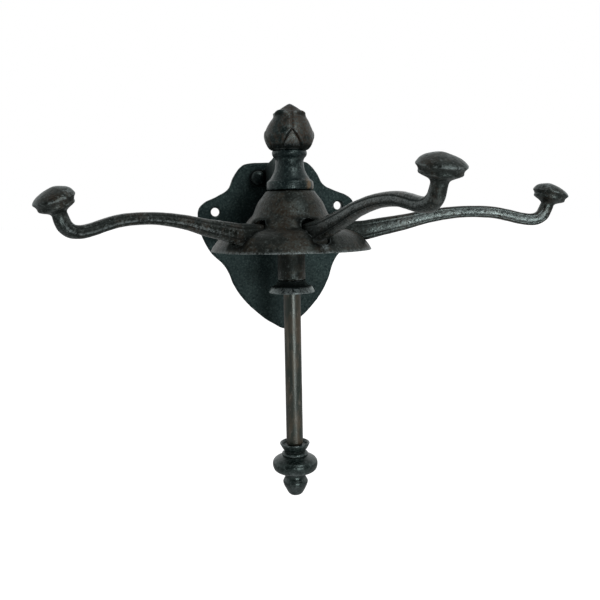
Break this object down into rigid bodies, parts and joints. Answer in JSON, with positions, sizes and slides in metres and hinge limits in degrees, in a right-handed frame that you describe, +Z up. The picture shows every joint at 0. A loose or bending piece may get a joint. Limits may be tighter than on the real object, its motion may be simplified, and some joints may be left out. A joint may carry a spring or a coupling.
{
  "type": "sliding coat hook",
  "caption": "Cast-iron wall coat hook: a shield back plate and bracket hold an upright rod, on which a bell-shaped hub with curved knobbed arms slides and swivels.",
  "frame": {"origin": "on the wall plane, at the back of the back plate, midway between its two screw holes", "axes": "+Y points into the wall, +X to the right along the wall, +Z up along the rod"},
  "size_m": [0.2669, 0.1982, 0.2207],
  "materials": {
    "dark_iron": "sand-cast iron with an old green-black finish",
    "brown_iron": "cast iron handled to a brown-black patina",
    "rubbed_rod_iron": "iron rod rubbed bright in places by the sliding hub",
    "pin_steel": "plain steel"
  },
  "bodies": {
    "root": {"back_plate": "dark_iron", "top_bracket": "dark_iron", "left_rivet": "dark_iron", "right_rivet": "dark_iron", "finial": "dark_iron", "rod": "rubbed_rod_iron", "stop_knob": "dark_iron"},
    "collar": {"slide_collar": "dark_iron", "friction_ring": "pin_steel"},
    "hub": {"hub_bell": "brown_iron", "left_pin": "pin_steel", "middle_pin": "pin_steel", "right_pin": "pin_steel"},
    "left_hook": {"left_arm": "brown_iron"},
    "middle_hook": {"middle_arm": "brown_iron"},
    "right_hook": {"right_arm": "brown_iron"}
  },
  "joints": [
    {"name": "collar_slide", "type": "slide", "parent": "root", "child": "collar", "axis": [0, 0, -1], "range_m": [0, 0.086]},
    {"name": "hub_swivel", "type": "hinge", "parent": "collar", "child": "hub", "pos_m": [0, -0.0525, 0], "axis": [0, 0, 1], "range_deg": [-52, 26]},
    {"name": "left_arm_lift", "type": "hinge", "parent": "hub", "child": "left_hook", "pos_m": [-0.01567, -0.06492, -0.013], "axis": [-0.6212, 0.7837, 0], "range_deg": [0, 3]},
    {"name": "middle_arm_lift", "type": "hinge", "parent": "hub", "child": "middle_hook", "pos_m": [0.00481, -0.07191, -0.013], "axis": [-0.9707, -0.2402, 0], "range_deg": [0, 3]},
    {"name": "right_arm_lift", "type": "hinge", "parent": "hub", "child": "right_hook", "pos_m": [0.01952, -0.05686, -0.013], "axis": [-0.2181, -0.9759, 0], "range_deg": [0, 3]}
  ]
}
